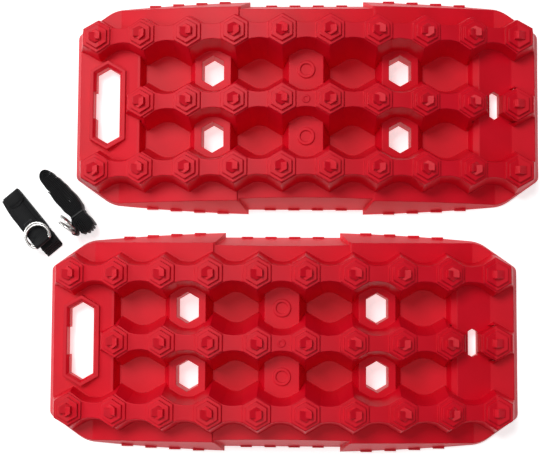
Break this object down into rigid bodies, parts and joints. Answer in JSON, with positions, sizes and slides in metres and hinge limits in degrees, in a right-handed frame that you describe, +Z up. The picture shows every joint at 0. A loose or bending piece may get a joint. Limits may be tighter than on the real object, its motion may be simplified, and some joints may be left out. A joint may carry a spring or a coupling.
{
  "type": "tire traction mats",
  "caption": "Pair of red arched tire traction mats with hexagonal studs, a hand slot and a strap slot, and folded black webbing carry straps with paired D-rings.",
  "frame": {"origin": "on the ground, under the middle of the whole set: two mats side by side and two straps", "axes": "+X along the mats from the hand slots to the strap slots, +Y from mat A to mat B, +Z up"},
  "size_m": [0.7518, 0.6323, 0.0921],
  "materials": {
    "red_plastic": "moulded red polyethylene, fine matte grain with a soft sheen",
    "black_webbing": "woven black nylon webbing, 25 mm wide",
    "black_thread": "black bonded thread",
    "black_band": "black elastic band",
    "ring_steel": "nickel-plated steel wire"
  },
  "bodies": {
    "board_a": {"board_a": "red_plastic"},
    "board_b": {"board_b": "red_plastic"},
    "strap_1": {"strap_1_webbing": "black_webbing", "strap_1_band": "black_band", "strap_1_stitching": "black_thread"},
    "strap_1_inner_ring": {"strap_1_d_ring_inner": "ring_steel"},
    "strap_1_outer_ring": {"strap_1_d_ring_outer": "ring_steel"},
    "strap_2": {"strap_2_webbing": "black_webbing", "strap_2_band": "black_band", "strap_2_stitching": "black_thread"},
    "strap_2_inner_ring": {"strap_2_d_ring_inner": "ring_steel"},
    "strap_2_outer_ring": {"strap_2_d_ring_outer": "ring_steel"}
  },
  "joints": [
    {"name": "board_b_lift", "type": "slide", "parent": "board_a", "child": "board_b", "axis": [0, 0, 1], "range_m": [0, 0.25]},
    {"name": "strap_1_lift", "type": "slide", "parent": "board_a", "child": "strap_1", "axis": [0, 0, 1], "range_m": [0, 0.25]},
    {"name": "strap_2_lift", "type": "slide", "parent": "board_a", "child": "strap_2", "axis": [0, 0, 1], "range_m": [0, 0.25]},
    {"name": "strap_1_inner_ring_swing", "type": "hinge", "parent": "strap_1", "child": "strap_1_inner_ring", "pos_m": [-0.31876, -0.02537, 0.01925], "axis": [0.7672, 0.6414, 0], "range_deg": [0, 90]},
    {"name": "strap_1_outer_ring_swing", "type": "hinge", "parent": "strap_1", "child": "strap_1_outer_ring", "pos_m": [-0.31619, -0.02844, 0.02315], "axis": [0.7672, 0.6414, 0], "range_deg": [0, 90]},
    {"name": "strap_2_inner_ring_swing", "type": "hinge", "parent": "strap_2", "child": "strap_2_inner_ring", "pos_m": [-0.27108, -0.00953, 0.0187], "axis": [0, 0, 1], "range_deg": [0, 40]},
    {"name": "strap_2_outer_ring_swing", "type": "hinge", "parent": "strap_2", "child": "strap_2_outer_ring", "pos_m": [-0.27062, -0.01526, 0.0187], "axis": [0, 0, 1], "range_deg": [0, 40]}
  ],
  "couplings": [
    {"joint": "strap_1_outer_ring_swing", "follows": "strap_1_inner_ring_swing", "ratio": 1},
    {"joint": "strap_2_outer_ring_swing", "follows": "strap_2_inner_ring_swing", "ratio": 1}
  ]
}
